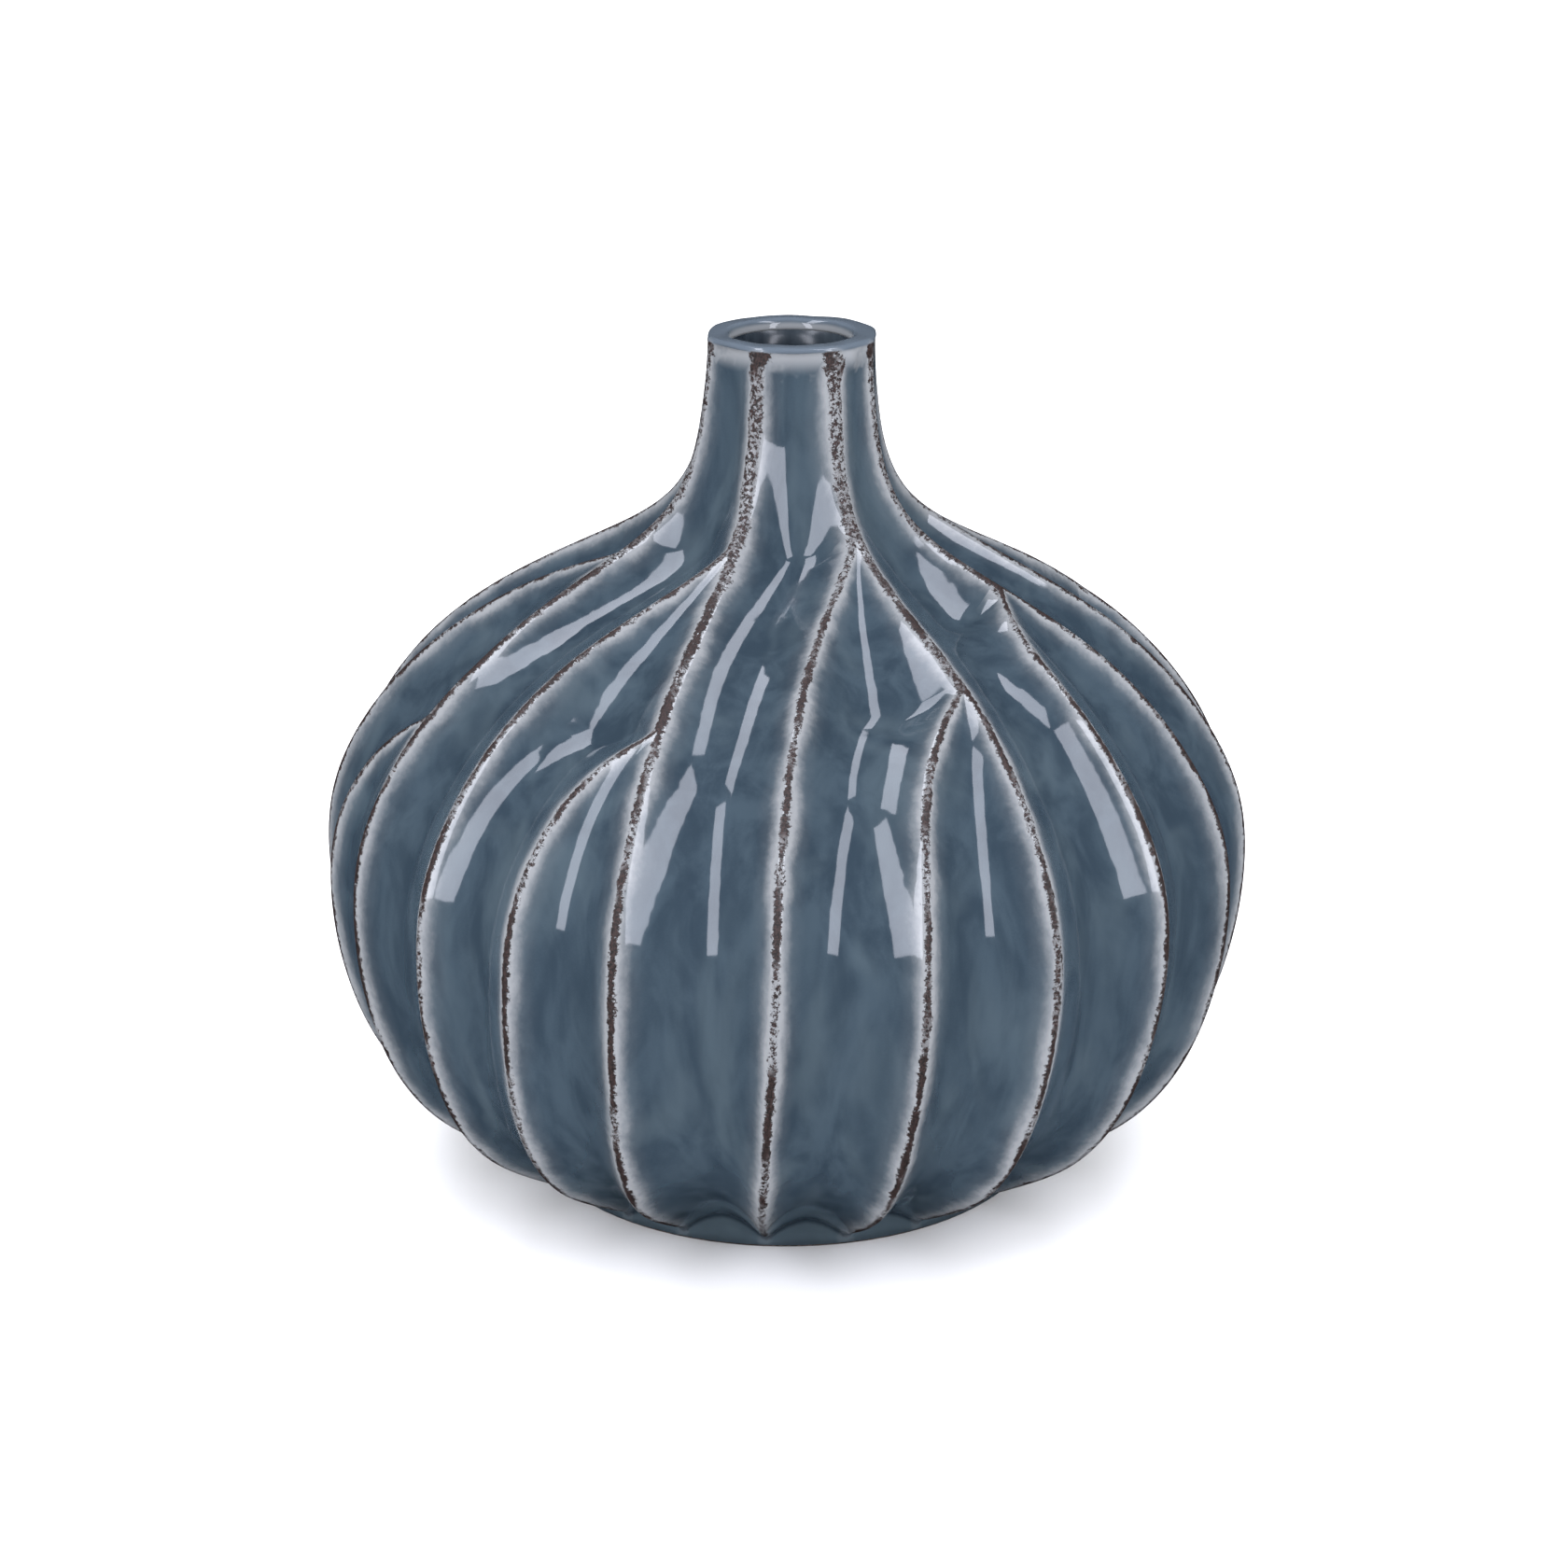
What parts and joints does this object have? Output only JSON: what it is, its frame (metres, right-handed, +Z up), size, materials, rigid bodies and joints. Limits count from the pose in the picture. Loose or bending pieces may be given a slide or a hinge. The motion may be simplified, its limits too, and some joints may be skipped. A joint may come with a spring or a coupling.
{
  "type": "bud vase",
  "caption": "Round fluted bud vase with a narrow upright neck, a softly faceted lip and a low foot ring, for one stem or a few.",
  "frame": {"origin": "middle of the foot ring's resting plane, on the belly's axis", "axes": "+Z up through the neck, -Y towards the front of the vase, +X to its right as seen from the front"},
  "size_m": [0.1397, 0.1401, 0.1287],
  "materials": {
    "clay": "bare fired dark stoneware, matt and slightly gritty",
    "glaze": "glossy blue-grey glaze breaking to cream and brown on the crests",
    "liner": "glossy dark blue-grey liner glaze"
  },
  "bodies": {
    "root": {"clay_body": "clay", "outer_glaze": "glaze", "inner_glaze": "liner"}
  },
  "joints": []
}
